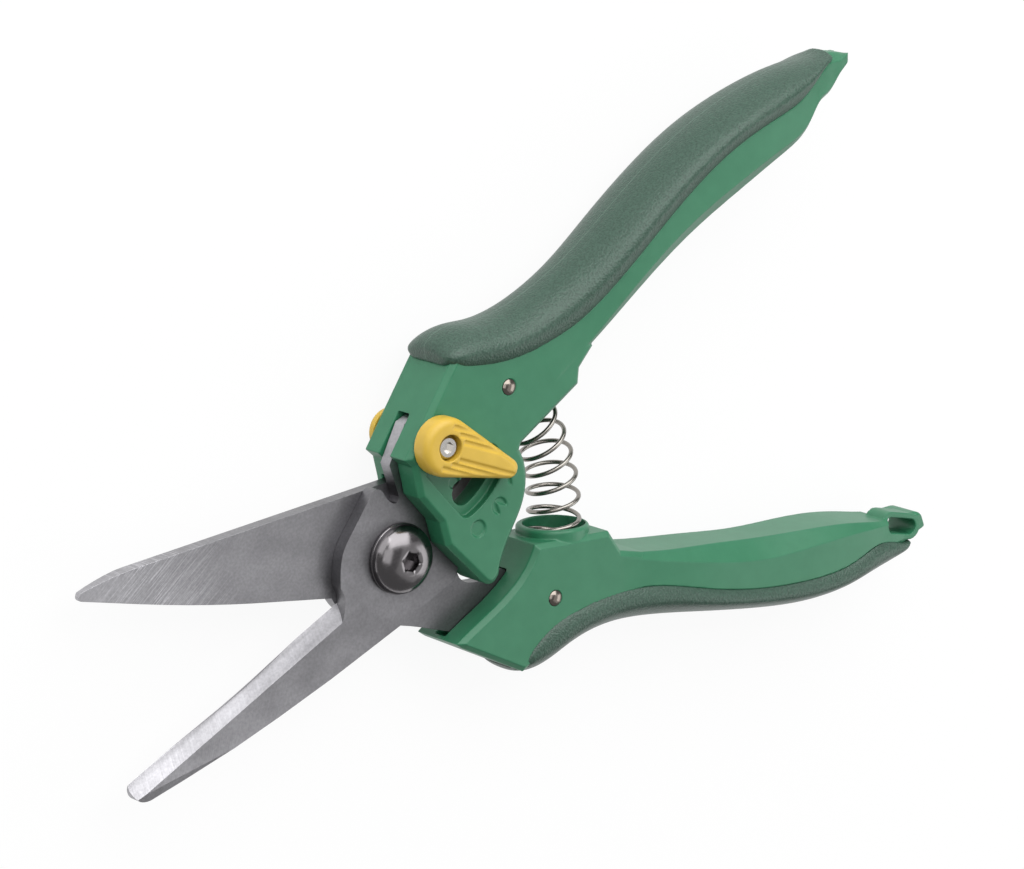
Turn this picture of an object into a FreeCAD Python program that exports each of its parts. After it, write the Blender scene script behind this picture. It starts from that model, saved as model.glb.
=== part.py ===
"""Pruning shears with two straight blades, moulded handles, an opening spring and a thumb latch.

Frame: millimetres. The origin is on the pivot axis, in the plane that the shears lie on, at the
nut end of the pivot bolt. +Z runs along the pivot towards the bolt's head, +X points back between
the handles, and +Y towards the handle that carries the latch. The shears are drawn fully open.
"""
import FreeCAD, Part
import math
import os

Vec = FreeCAD.Vector

# ---------------------------------------------------------------- driving dimensions
blade_thickness = 2.8
blade_gap = 0.05           # running gap between the two blades' flat sides
blade_reach = 64.3         # pivot to blade tip
edge_land = 0.4            # steel left at a ground cutting edge
bevel_width = 1.95         # ground band along the front cutting edge
rear_bevel_width = 6.1
facet_width = 2.4          # shallow facet on the front blade's back edge, near the tip
facet_depth = 0.9
rear_hub_radius = 13.9     # round of the rear blade about the pivot
lock_tooth_radius = 18.0   # low step of its tooth, that the latch's pin holds shut
stop_tooth_radius = 21.0   # high step, that meets the pin when the shears are open
opening_angle = 33.0       # turn between fully open and closed

bolt_head_radius = 6.6
bolt_head_height = 4.0
bolt_rim_height = 0.7
bolt_shoulder_radius = 4.0
bolt_thread_radius = 3.0
bolt_socket_flats = 3.2
bolt_socket_depth = 2.4
bolt_head_clearance = 0.6  # radial, to the upper handle
running_clearance = 0.05   # radial, on every turning fit
seat_clearance = 0.05      # between pieces that are pressed or clamped together
washer_radius = 7.0
washer_thickness = 1.6
nut_flats = 10.0
nut_height = 6.0
nut_ring_height = 1.8
nut_ring_radius = 4.1
nut_ring_recess = 0.2      # below the nut's end

head_thickness = 14.0      # handle thickness beside the blades
arm_thickness = 16.0       # handle thickness in the hand
edge_chamfer = 0.9
sweep_clearance = 0.7      # round the rear blade, in the upper handle
blade_room = 0.3           # below the rear blade, in the same pocket
tang_sweep_radius = 40.0   # reach of the upper handle's slot for the lower handle's tang
grip_thickness = 18.0
grip_skin = 2.6
tang_pin_radius = 1.45
tang_pin_head = 0.5

latch_x = 10.3
latch_y = 19.4
latch_rest_angle = -35.0   # the lever's direction when the shears may open fully
latch_step_angle = 18.0    # between two of its three positions
lever_hub_radius = 5.5
lever_tip_radius = 1.9
lever_length = 14.9        # hub centre to tip centre
lever_thickness = 3.8
lever_lean = 3.0           # the tip lies this far past the cross pin's direction
lever_rim_radius = 1.5
back_hub_radius = 4.4      # the lever on the back is smaller and thinner
back_tip_radius = 1.7
back_thickness = 1.8
back_rim_radius = 0.8
lever_gap = 0.15           # between lever and handle face
lever_band = 1.7           # half width of the smooth band along the lever's middle
lever_groove_step = 1.1    # between two of the grooves beside it, three on each side
lever_groove_radius = 0.6
lever_groove_depth = 0.35
latch_socket_flats = 2.0
latch_boss_radius = 3.1
latch_screw_radius = 1.5
latch_screw_head_radius = 2.1
latch_screw_head_height = 1.4
latch_screw_head_chamfer = 0.35
latch_screw_pocket = 0.35  # radial room round the screw's head
latch_screw_sink = 2.2     # depth of the screw's seat below the lever's top
latch_nut_flats = 4.6
latch_nut_height = 1.6
latch_nut_recess = 0.2     # nut's outer face below the lever's
latch_pin_orbit = 12.0     # latch axis to cross pin
latch_pin_radius = 1.9
latch_pin_clearance = 0.35
blade_pin_clearance = 0.65 # the same pin in the front blade
mark_orbit = 19.1
mark_lead = 6.4            # degrees from the lever's direction to the mark beside its tip
mark_sectors = (26, 10, 0) # degrees left standing in each mark
mark_radius = 1.6
mark_depth = 0.4
latch_recess_radius = 16.0
latch_recess_depth = 1.5
dimple_orbit = 9.2
dimple_radius = 1.2
dimple_depth = 0.35

spring_orbit = 37.9        # pivot to the spring's curved centre line
spring_radius = 4.8        # coil's mean radius
spring_wire = 0.85
spring_turns = 8.5
spring_lead = 0.42         # of a turn, where the wire starts on the lower seat
spring_start_angle = -23.0
spring_end_angle = 31.0
cup_ring_radius = 6.9
cup_bore_radius = 5.9
cup_ring_height = 1.7
cup_rim_radius = 0.7
cup_ring_root = 2.0        # of the ring inside the platform
cup_top_angle = -14.8      # where the spring's centre line leaves the ring
cup_depth = 14.0           # of the open bore above the spring's seat, past the ring
spring_seat_depth = 0.4

hang_hole_length = 8.0     # cord hole through the lower handle's end
hang_hole_width = 3.0
hang_rim_width = 1.1
hang_rim_height = 4.2      # above the handle's middle plane
hang_rim_foot = 1.0        # below that plane

# ---------------------------------------------------------------- levels, from the resting plane up
nut_end_z = 0.0
washer_z = nut_end_z + nut_height
rear_z = washer_z + washer_thickness
rear_top_z = rear_z + blade_thickness
front_z = rear_top_z + blade_gap
front_top_z = front_z + blade_thickness
lower_mid_z = (rear_z + rear_top_z) / 2
upper_mid_z = (front_z + front_top_z) / 2
upper_face_z = upper_mid_z + head_thickness / 2
upper_back_z = upper_mid_z - head_thickness / 2
lower_face_z = lower_mid_z + head_thickness / 2
lower_back_z = lower_mid_z - head_thickness / 2
FAR = 60.0                 # taller than anything, for cutters that pass right through
OVERCUT = 0.01             # so that two cutters share no face


# ---------------------------------------------------------------- small drawing helpers
def polar(radius, angle, z=0.0):
    """A point at a radius and angle (degrees) about the pivot."""
    turn = math.radians(angle)
    return Vec(radius * math.cos(turn), radius * math.sin(turn), z)


def about_latch(radius, angle, z=0.0):
    """A point at a radius and angle about the latch's own axis."""
    return polar(radius, angle, z) + Vec(latch_x, latch_y, 0)


def curve(points, z=0.0):
    """A smooth open curve through plan points."""
    line = Part.BSplineCurve()
    line.interpolate([Vec(x, y, z) for x, y in points])
    return line.toShape()


def straight(start, end, z=0.0):
    """A straight edge between two plan points."""
    return Part.makeLine(Vec(start[0], start[1], z), Vec(end[0], end[1], z))


def outline(stretches, z=0.0):
    """A closed plan face: a stretch of two points is straight, a longer one is a smooth curve."""
    edges = []
    for number, points in enumerate(stretches):
        edges.append(straight(*points, z=z) if len(points) == 2 else curve(points, z))
        after = stretches[(number + 1) % len(stretches)][0]
        if math.dist(points[-1], after) > 1e-6:
            edges.append(straight(points[-1], after, z))
    return Part.Face(Part.Wire(edges))


def slab(face, low, high):
    """A plan face drawn at z = 0, raised from one level to another."""
    return face.translated(Vec(0, 0, low)).extrude(Vec(0, 0, high - low))


def polygon(points, low, high):
    """A straight-sided slab."""
    corners = [Vec(x, y, 0) for x, y in points]
    return slab(Part.Face(Part.makePolygon(corners + corners[:1])), low, high)


def disc(x, y, radius, low, high):
    """An upright cylinder between two levels."""
    return Part.makeCylinder(radius, high - low, Vec(x, y, low))


def hexagon(flats, low, high, x=0.0, y=0.0):
    """An upright hexagonal prism, measured across its flats."""
    reach = flats / math.sqrt(3)
    corners = [(x + reach * math.cos(math.pi * k / 3), y + reach * math.sin(math.pi * k / 3))
               for k in range(6)]
    return polygon(corners, low, high)


def sector(radius, first, last, low, high):
    """A slice of a disc about the pivot, between two angles."""
    start, middle, end = (polar(radius, angle) for angle in (first, (first + last) / 2, last))
    edges = [Part.Arc(start, middle, end).toShape(), Part.makeLine(end, Vec()), Part.makeLine(Vec(), start)]
    return slab(Part.Face(Part.Wire(edges)), low, high)


def arc_slot(centre_radius, half_width, first, last, low, high):
    """A round-ended slot that follows a circle about the latch's axis."""
    middle = (first + last) / 2
    rim = []
    for side in (1, -1):
        radius = centre_radius + side * half_width
        ends = (first, last) if side > 0 else (last, first)
        rim.append(Part.Arc(about_latch(radius, ends[0]), about_latch(radius, middle),
                            about_latch(radius, ends[1])).toShape())
    caps = []
    for angle, outward in ((last, 1), (first, -1)):
        tip = about_latch(centre_radius, angle) + polar(half_width, angle + 90 * outward)
        ends = [about_latch(centre_radius + way * half_width, angle) for way in (1, -1)]
        if outward < 0:
            ends.reverse()
        caps.append(Part.Arc(ends[0], tip, ends[1]).toShape())
    return slab(Part.Face(Part.Wire([rim[0], caps[0], rim[1], caps[1]])), low, high)


def level_edges(solid, levels):
    """The solid's edges that lie flat in one of the given levels."""
    return [edge for edge in solid.Edges
            if any(abs(edge.BoundBox.ZMin - z) < 1e-4 and abs(edge.BoundBox.ZMax - z) < 1e-4
                   for z in levels)]


def bevelled(solid, size, levels):
    """The solid with the edges in the given levels chamfered."""
    return solid.makeChamfer(size, level_edges(solid, levels))


def rounded(solid, radius, height):
    """The solid with the edges at one height rounded."""
    return solid.makeFillet(radius, level_edges(solid, [height]))


def wedge(start, end, width, run, z, depth):
    """A cutter that grinds a sloping band: the line from start to end keeps its height z, and the
    band falls by depth over its width, on the left of the line, and carries on to run."""
    along = Vec(end[0] - start[0], end[1] - start[1], 0)
    side = Vec(-along.y, along.x, 0).normalize()
    base = Vec(start[0], start[1], z)
    drop = depth * run / width
    up = Vec(0, 0, math.copysign(5.0, depth))
    corners = [base, base + side * run - Vec(0, 0, drop), base + side * run + up, base + up]
    return Part.Face(Part.makePolygon(corners + corners[:1])).extrude(along)


def only_solid(shape):
    """The largest solid of a result, without the compound around it."""
    return max(shape.Solids, key=lambda solid: solid.Volume)


# ---------------------------------------------------------------- shared places
upper_pin = (28.0, 23.4)
lower_pin = (29.0, -20.5)
hang_hole = ((112.9, -42.9), -27.0)     # its centre and the way it is long
lever_closed_angle = latch_rest_angle - 2 * latch_step_angle


def latch_track(extra):
    """The path of the latch's cross pin, wider than the pin by a clearance."""
    return arc_slot(latch_pin_orbit, latch_pin_radius + extra, lever_closed_angle - 2,
                    latch_rest_angle + 2, 0, FAR)


def spring_bore(angle, mid_z, depth, height):
    """The round pocket that seats one end of the spring, across its curved centre line."""
    turn = math.copysign(1.0, depth)
    along = polar(turn, angle + 90)
    seat = polar(spring_orbit, angle, mid_z)
    return Part.makeCylinder(cup_bore_radius, abs(depth) + height, seat + along * depth * turn, along * -1)


# ---------------------------------------------------------------- blades
def front_blade():
    """The upper handle's blade: blunt tip, shoulder, notch beside the pivot, tang in the handle."""
    tip = -blade_reach
    stretches = [
        [(tip + 0.8, -16.7), (-39.3, -10.9), (-19.3, -5.0), (-16.0, -3.7), (-14.0, -1.9)],
        [(-14.0, -1.9), (-12.9, 2.0), (-11.6, 5.2), (-9.6, 7.6)],
        [(-9.6, 7.6), (-2.6, 13.7)],
        [(-2.6, 13.7), (-1.4, 14.3), (-0.3, 13.8), (0.2, 12.6), (0.8, 11.2), (1.9, 10.2), (3.1, 11.0)],
        [(3.1, 11.0), (2.7, 17.5)],
        [(2.7, 17.5), (7.9, 23.5)],
        [(7.9, 23.5), (13.0, 24.6)],
        [(13.0, 24.6), (20.0, 28.0), (31.0, 28.5), (33.5, 25.5), (31.5, 21.5)],
        [(31.5, 21.5), (26.5, 18.5), (23.5, 15.0), (22.5, 6.0), (17.0, -2.0)],
        [(17.0, -2.0), (9.6, -9.1)],
        [(9.6, -9.1), (-3.2, -12.2)],
        [(-3.2, -12.2), (-20.0, -15.4)],
        [(-20.0, -15.4), (-28.0, -16.7), (-40.7, -18.5), (tip + 3.6, -20.6)],
        [(tip + 3.6, -20.6), (tip + 1.3, -20.2), (tip + 0.2, -19.2), (tip, -17.7), (tip + 0.8, -16.7)],
    ]
    plate = slab(outline(stretches), front_z, front_top_z)
    ground = wedge((-70.0, -20.9), (-12.0, -5.6), bevel_width, 9.0, front_top_z,
                   blade_thickness - edge_land)
    reach = outline([
        [(-75.0, -30.0), (-17.6, -30.0)],
        [(-17.6, -30.0), (-17.6, -8.6)],
        [(-17.6, -8.6), (-14.8, -6.2), (-13.3, -3.2), (-12.9, -0.5)],
        [(-12.9, -0.5), (-12.9, 10.0)],
        [(-12.9, 10.0), (-75.0, 10.0)],
        [(-75.0, 10.0), (-75.0, -30.0)],
    ])
    plate = plate.cut(ground.common(slab(reach, 0, FAR)))
    plate = plate.cut(wedge((-43.0, -18.75), (-72.0, -18.9), facet_width, 6.0, front_top_z, facet_depth))
    plate = plate.cut(disc(0, 0, bolt_shoulder_radius + seat_clearance, 0, FAR))
    plate = plate.cut(disc(latch_x, latch_y, latch_boss_radius + running_clearance, 0, FAR))
    plate = plate.cut(latch_track(blade_pin_clearance))
    plate = plate.cut(disc(*upper_pin, tang_pin_radius + seat_clearance, 0, FAR))
    return only_solid(plate)


def rear_blade():
    """The lower handle's blade: pointed tip, hub, stepped lock tooth, hooked hollow, tang."""
    tip = -blade_reach
    lock_face = 29.6 + 7.2 - opening_angle
    stop_face = 45.0 - opening_angle
    tooth_end = 52.0 - opening_angle
    tooth = [polar(rear_hub_radius, tooth_end + 3), polar(stop_tooth_radius, tooth_end),
             polar(stop_tooth_radius, stop_face), polar(lock_tooth_radius, stop_face),
             polar(lock_tooth_radius, lock_face), polar(rear_hub_radius, lock_face)]
    tooth = [(point.x, point.y) for point in tooth]
    rim = [polar(rear_hub_radius, turn) for turn in (72, 55, 38, tooth_end + 3)]
    rim = [(point.x, point.y) for point in rim]
    hollow = [polar(rear_hub_radius, turn) for turn in (lock_face, -6, -16)]
    hollow = [(point.x, point.y) for point in hollow]
    stretches = [
        [(tip + 1.6, 18.7), (tip + 0.8, 19.4), (tip + 1.5, 20.3)],
        [(tip + 1.5, 20.3), (-57.0, 20.45), (-52.0, 20.15)],
        [(-52.0, 20.15), (-2.0, 14.0)],
        [(-2.0, 14.0), rim[0]],
        rim,
        *[[tooth[k], tooth[k + 1]] for k in range(len(tooth) - 1)],
        [*hollow, (12.9, -7.5), (13.2, -10.4)],
        [(13.2, -10.4), (14.6, -12.0), (17.5, -12.9), (20.3, -13.6)],
        [(20.3, -13.6), (21.4, -12.6), (22.6, -12.8), (23.6, -14.2)],
        [(23.6, -14.2), (33.0, -15.9)],
        [(33.0, -15.9), (36.0, -20.0), (34.5, -24.5), (30.0, -25.5)],
        [(30.0, -25.5), (13.0, -22.0), (0.0, -14.4), (-8.0, -10.2), (-12.6, -6.0), (-14.2, -2.4)],
        [(-14.2, -2.4), (-18.0, -0.9), (-29.0, 3.3), (-45.0, 10.1), (-55.0, 14.9), (tip + 1.6, 18.7)],
    ]
    plate = slab(outline(stretches), rear_z, rear_top_z)
    plate = plate.cut(wedge((-12.0, 2.4), (-72.0, 28.0), rear_bevel_width, 9.0, rear_z,
                            edge_land - blade_thickness))
    plate = plate.cut(disc(0, 0, bolt_shoulder_radius + running_clearance, 0, FAR))
    plate = plate.cut(disc(*lower_pin, tang_pin_radius + seat_clearance, 0, FAR))
    return only_solid(plate)


# ---------------------------------------------------------------- pivot
def pivot_bolt():
    """Domed head with a hexagon socket, plain shoulder through both blades, thread end."""
    top = front_top_z + bolt_head_height
    rim = front_top_z + bolt_rim_height
    dome = Part.Arc(Vec(bolt_head_radius, 0, rim), Vec(bolt_head_radius * 0.74, 0, top - 1.25),
                    Vec(bolt_socket_flats * 0.72, 0, top)).toShape()
    corners = [Vec(bolt_socket_flats * 0.72, 0, top), Vec(0, 0, top), Vec(0, 0, nut_end_z),
               Vec(bolt_thread_radius, 0, nut_end_z), Vec(bolt_thread_radius, 0, rear_z),
               Vec(bolt_shoulder_radius, 0, rear_z), Vec(bolt_shoulder_radius, 0, front_top_z),
               Vec(bolt_head_radius, 0, front_top_z), Vec(bolt_head_radius, 0, rim)]
    profile = Part.Face(Part.Wire([dome] + Part.makePolygon(corners).Edges))
    bolt = profile.revolve(Vec(), Vec(0, 0, 1), 360)
    return only_solid(bolt.cut(hexagon(bolt_socket_flats, top - bolt_socket_depth, FAR)))


def pivot_washer():
    """Flat washer between the rear blade and the nut."""
    ring = disc(0, 0, washer_radius, washer_z, rear_z)
    return only_solid(ring.cut(disc(0, 0, bolt_thread_radius + seat_clearance, 0, FAR)))


def pivot_nut():
    """Hexagon lock nut with a counterbore for its nylon ring."""
    nut = hexagon(nut_flats, nut_end_z, washer_z)
    cone = Part.makeCone(nut_flats * 0.52, nut_flats * 0.52 + nut_height, nut_height, Vec(0, 0, nut_end_z))
    nut = nut.common(cone)
    nut = nut.cut(disc(0, 0, bolt_thread_radius + seat_clearance, 0, FAR))
    return only_solid(nut.cut(disc(0, 0, nut_ring_radius + seat_clearance, nut_end_z,
                                   nut_end_z + nut_ring_height)))


def nut_ring():
    """Nylon ring that grips the bolt's thread."""
    ring = disc(0, 0, nut_ring_radius, nut_end_z + nut_ring_recess, nut_end_z + nut_ring_height)
    return only_solid(ring.cut(disc(0, 0, bolt_thread_radius + seat_clearance, 0, FAR)))


# ---------------------------------------------------------------- handles
class Station:
    """One cross-section of a handle: inner edge, parting line and outer edge in plan."""

    def __init__(self, inner, parting, outer, blend, bevel, taper=1.0, skin_share=1.0):
        full = arm_thickness / 2
        slim = head_thickness / 2
        self.inner = Vec(*inner, 0)
        self.outer = Vec(*outer, 0)
        self.parting = self.inner + self.across() * (Vec(*parting, 0) - self.inner).dot(self.across())
        self.half = (slim + (full - slim) * blend) * taper
        self.bevel = bevel
        self.skin = grip_skin * skin_share

    def across(self):
        """Unit vector from the inner edge towards the outer edge."""
        return (self.outer - self.inner).normalize()


def stations(rows):
    """Stations from rows of inner, parting and outer points, the blend from head to arm thickness,
    the inner bevel, the taper of that thickness, and the share of the grip's skin."""
    return [Station(*row) for row in rows]


upper_arm = stations([
    ((38.0, 19.5), (35.0, 27.9), (32.6, 35.1), 0.0, 0.9),
    ((46.0, 22.7), (43.5, 28.5), (40.2, 36.1), 0.0, 1.0),
    ((56.0, 26.8), (53.0, 31.6), (49.8, 38.6), 0.5, 1.8),
    ((66.0, 31.0), (63.0, 36.6), (59.3, 42.5), 1.0, 2.6),
    ((78.0, 35.1), (75.5, 42.6), (72.3, 48.3), 1.0, 3.0),
    ((90.0, 38.5), (88.5, 47.2), (86.2, 52.8), 1.0, 2.6),
    ((100.0, 41.1), (99.5, 48.8), (98.6, 54.9), 0.5, 1.8),
    ((107.5, 43.8), (107.5, 49.8), (107.3, 55.3), 0.0, 1.0, 0.914),
    ((112.6, 47.0), (112.6, 51.8), (112.8, 54.8), 0.0, 0.8, 0.72, 0.3),
    ((116.6, 47.7), (116.8, 52.2), (117.6, 54.5), 0.0, 0.8, 0.54, 0.0),
    ((119.0, 49.6), (119.3, 51.8), (119.9, 53.9), 0.0, 0.6, 0.52, 0.0),
    ((121.0, 50.7), (121.2, 52.0), (121.6, 53.2), 0.0, 0.4, 0.48, 0.0),
    ((122.6, 51.4), (122.7, 51.9), (122.9, 52.4), 0.0, 0.1, 0.30, 0.0),
])
lower_arm = stations([
    ((40.0, -18.0), (38.0, -24.8), (36.0, -32.2), 0.0, 0.9),
    ((46.0, -18.9), (44.5, -25.9), (42.5, -32.6), 0.0, 1.0),
    ((56.0, -22.7), (53.5, -28.7), (51.0, -35.0), 0.5, 1.8),
    ((66.0, -26.0), (63.5, -33.7), (61.0, -38.8), 1.0, 3.0),
    ((78.0, -30.0), (75.5, -38.9), (73.0, -43.5), 1.0, 3.6),
    ((90.0, -33.3), (88.0, -42.4), (86.0, -47.7), 1.0, 2.8),
    ((100.0, -36.3), (98.5, -43.3), (97.5, -49.3), 0.5, 1.8),
    ((106.5, -38.9), (105.5, -43.2), (105.5, -49.4), 0.0, 1.0, 0.914),
    ((111.2, -40.6), (110.9, -45.6), (111.3, -48.6), 0.0, 0.8, 0.66, 0.3),
    ((114.6, -41.3), (114.4, -45.4), (115.4, -47.7), 0.0, 0.8, 0.57, 0.0),
    ((116.6, -41.7), (116.6, -45.0), (117.0, -47.1), 0.0, 0.7, 0.57, 0.0),
    ((118.3, -42.4), (118.4, -44.8), (118.6, -46.4), 0.0, 0.5, 0.56, 0.0),
    ((119.1, -43.6), (119.1, -44.8), (119.2, -45.9), 0.0, 0.3, 0.46, 0.0),
])


def level(point, z):
    """The plan point raised to a height."""
    return Vec(point.x, point.y, z)


def core_section(station, mid_z):
    """Closed ten-sided section of the hard core at a station."""
    across = station.across()
    flat = station.half - station.bevel * 0.9
    rib = station.half - station.skin
    shoulder = station.inner + across * station.bevel
    step = station.parting + across * 0.8
    spine = station.outer - across * station.skin
    side = [(station.inner, flat), (shoulder, station.half), (station.parting, station.half),
            (step, rib), (spine, rib * 0.45)]
    front = [level(point, mid_z + height) for point, height in side]
    back = [level(point, mid_z - height) for point, height in reversed(side)]
    return Part.makePolygon(front + back + front[:1])


def grip_section(station, mid_z, swell):
    """Closed section of the soft grip: a full curve over the outside, flat where it is cored."""
    across = station.outer - station.parting
    crown = station.half + swell
    front = []
    for share, height in ((0.0, station.half), (0.12, station.half + swell * 0.55), (0.4, crown),
                          (0.72, crown * 0.78), (0.93, crown * 0.42)):
        front.append(level(station.parting + across * share, mid_z + height))
    back = [Vec(point.x, point.y, 2 * mid_z - point.z) for point in reversed(front)]
    skin = Part.BSplineCurve()
    skin.interpolate(front + [level(station.outer, mid_z)] + back)
    return Part.Wire([skin.toShape(), Part.makeLine(back[-1], front[0])])


def upper_outline():
    """Plan of the upper handle's head, from the corner above the notch round to the arm."""
    return outline([
        [(3.1, 19.1), (4.3, 17.3)],
        [(4.3, 17.3), (4.1, 11.2)],
        [(4.1, 11.2), (7.2, 5.0)],
        [(7.2, 5.0), (7.3, 0.2)],
        [(7.3, 0.2), (12.9, -9.3)],
        [(12.9, -9.3), (14.8, -10.7), (16.9, -9.6)],
        [(16.9, -9.6), (21.3, -3.5), (26.2, 2.1), (27.9, 7.5), (27.5, 11.0)],
        [(27.5, 11.0), (28.2, 12.0)],
        [(28.2, 12.0), (43.3, 17.6)],
        [(43.3, 17.6), (44.4, 20.4)],
        [(44.4, 20.4), (48.4, 23.2)],
        [(48.4, 23.2), (42.5, 34.0)],
        [(42.5, 34.0), (30.0, 32.6), (19.3, 34.15)],
        [(19.3, 34.15), (3.1, 19.1)],
    ])


def lower_outline():
    """Plan of the lower handle's head: hollow wall that clears the upper handle, spring platform."""
    down = polar(cup_ring_height, cup_top_angle - 90)
    near = polar(29.2, cup_top_angle) + down
    far = polar(46.3, cup_top_angle) + down
    return outline([
        [(near.x, near.y), (25.3, -12.0), (20.6, -15.0), (6.2, -20.0)],
        [(6.2, -20.0), (7.4, -21.4)],
        [(7.4, -21.4), (18.8, -31.3)],
        [(18.8, -31.3), (28.0, -29.6), (38.0, -29.4), (48.0, -31.4)],
        [(48.0, -31.4), (51.0, -20.8)],
        [(51.0, -20.8), (46.0, -18.3)],
        [(46.0, -18.3), (far.x, far.y)],
        [(far.x, far.y), (near.x, near.y)],
    ])


def hard_handle(plan, arm_stations, mid_z):
    """Head slab with chamfered rims, joined to the lofted arm."""
    low = mid_z - head_thickness / 2
    high = mid_z + head_thickness / 2
    head = bevelled(slab(plan, low, high), edge_chamfer, (low, high))
    arm = Part.makeLoft([core_section(station, mid_z) for station in arm_stations], True, False)
    return head.fuse(arm)


def hang_slot(grow, below, above):
    """A long round-ended prism at the lower handle's end, below and above its middle plane."""
    centre, angle = hang_hole
    along = polar((hang_hole_length - hang_hole_width) / 2, angle)
    radius = hang_hole_width / 2 + grow
    low = lower_mid_z - below
    high = lower_mid_z + above
    middle = Vec(*centre, 0)
    ends = [disc(place.x, place.y, radius, low, high) for place in (middle - along, middle + along)]
    bridge = Part.makeBox(2 * along.Length, 2 * radius, high - low, Vec(-along.Length, -radius, low))
    bridge.rotate(Vec(), Vec(0, 0, 1), angle)
    return ends[0].fuse(ends[1]).fuse(bridge.translated(middle))


def upper_handle():
    """Moulded handle that holds the front blade and carries the latch."""
    handle = hard_handle(upper_outline(), upper_arm, upper_mid_z)
    tang_slot = front_blade_space()
    handle = handle.cut(tang_slot)
    for radius, first, last in ((stop_tooth_radius + sweep_clearance, -80, 57),
                                (rear_hub_radius + sweep_clearance, 56, 105),
                                (tang_sweep_radius, -80, 6.5)):
        handle = handle.cut(sector(radius, first, last, rear_z - blade_room, front_z + OVERCUT))
    handle = handle.cut(disc(0, 0, bolt_head_radius + bolt_head_clearance, 0, FAR))
    handle = handle.cut(spring_bore(spring_end_angle, upper_mid_z, spring_seat_depth, cup_depth))
    handle = handle.cut(disc(latch_x, latch_y, latch_boss_radius + running_clearance, 0, FAR))
    handle = handle.cut(latch_track(latch_pin_clearance))
    handle = handle.cut(latch_recess(upper_face_z - latch_recess_depth, FAR))
    handle = handle.cut(latch_recess(0, upper_back_z + latch_recess_depth))
    dimple = about_latch(dimple_orbit, -75)
    floor = upper_face_z - latch_recess_depth
    handle = handle.cut(disc(dimple.x, dimple.y, dimple_radius, floor - dimple_depth, FAR))
    for number in range(len(mark_sectors)):
        handle = handle.cut(position_mark(number))
    handle = handle.cut(disc(*upper_pin, tang_pin_radius + seat_clearance, 0, FAR))
    return only_solid(handle)


def front_blade_space():
    """Room for the front blade's tang, open at the side where its edge shows."""
    low = front_z - OVERCUT
    high = front_top_z + seat_clearance
    side = polygon([(-6, 8), (-6, 26), (3.6, 22.4), (8.3, 25.2), (12, 24.0), (12, 8)], low - 0.6, high)
    tang = outline([
        [(4.0, 4.0), (4.0, 22.0)],
        [(4.0, 22.0), (13.0, 25.0)],
        [(13.0, 25.0), (20.0, 28.6), (31.3, 29.0), (34.1, 25.5), (31.9, 21.1)],
        [(31.9, 21.1), (26.9, 18.1), (24.0, 14.8), (23.1, 5.8), (17.2, -2.5)],
        [(17.2, -2.5), (9.0, -9.6)],
        [(9.0, -9.6), (4.0, -9.6)],
        [(4.0, -9.6), (4.0, 4.0)],
    ])
    return side.fuse(slab(tang, low, high))


def latch_recess(low, high):
    """Sunk field that the lever sweeps, with one straight side and one round the latch."""
    place = [(point.x, point.y) for point in (
        about_latch(lever_hub_radius, 30), about_latch(lever_hub_radius - 2, 180),
        about_latch(6.1, -128), about_latch(14.6, -85.3), about_latch(15.6, -82.6))]
    rim = [(point.x, point.y) for point in (
        about_latch(latch_recess_radius, turn) for turn in (-79, -65, -50, -36))]
    field = outline([
        [place[0], place[1]],
        [place[1], place[2]],
        [place[2], place[3]],
        [place[3], place[4], rim[0]],
        rim,
        [rim[-1], place[0]],
    ])
    return slab(field, low, high)


def position_mark(number):
    """Round mark on the front face; the first two show how far the shears may open."""
    angle = latch_rest_angle - mark_lead - number * latch_step_angle
    place = about_latch(mark_orbit, angle)
    mark = disc(place.x, place.y, mark_radius, upper_face_z - mark_depth, FAR)
    spread = mark_sectors[number]
    if spread:
        tip = about_latch(mark_orbit - 0.6 * mark_radius, angle)
        ends = [about_latch(mark_orbit + 2 * mark_radius, angle + side * spread / 2) for side in (-1, 1)]
        mark = mark.cut(polygon([(point.x, point.y) for point in (tip, *ends)], 0, FAR))
    return mark


def lower_handle():
    """Moulded handle that holds the rear blade and carries the spring's cup."""
    handle = hard_handle(lower_outline(), lower_arm, lower_mid_z)
    handle = handle.fuse(hang_slot(hang_rim_width, hang_rim_foot, hang_rim_height))
    handle = handle.cut(hang_slot(0.0, arm_thickness, arm_thickness))
    top = polar(spring_orbit, cup_top_angle, lower_mid_z)
    down = polar(1.0, cup_top_angle - 90)
    ring = Part.makeCylinder(cup_ring_radius, cup_ring_height + cup_ring_root, top, down)
    rim_edge = [edge for edge in ring.Edges if edge.Closed and abs((edge.CenterOfMass - top).Length) < 0.01]
    ring = ring.makeFillet(cup_rim_radius, rim_edge)
    handle = handle.fuse(ring)
    handle = handle.cut(spring_bore(spring_start_angle, lower_mid_z, -spring_seat_depth, cup_depth))
    handle = handle.cut(rear_blade_space())
    handle = handle.cut(disc(*lower_pin, tang_pin_radius + seat_clearance, 0, FAR))
    return only_solid(handle)


def rear_blade_space():
    """Room for the rear blade's tang in the lower handle."""
    low = rear_z - seat_clearance
    high = rear_top_z + seat_clearance
    tang = outline([
        [(4.0, -12.0), (24.0, -13.4)],
        [(24.0, -13.4), (33.5, -15.4)],
        [(33.5, -15.4), (36.7, -20.0), (34.8, -25.2), (30.0, -26.2)],
        [(30.0, -26.2), (13.0, -22.7), (4.0, -17.8)],
        [(4.0, -17.8), (4.0, -12.0)],
    ])
    return slab(tang, low, high)


def grip(grip_stations, core, mid_z):
    """Soft overmoulding on a handle's outside, from its rounded nose to its tapered tail."""
    swell = (grip_thickness - arm_thickness) / 2
    sections = [grip_section(station, mid_z, swell) for station in grip_stations]
    soft = Part.makeLoft(sections, True, False)
    return only_solid(soft.cut(core))


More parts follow.
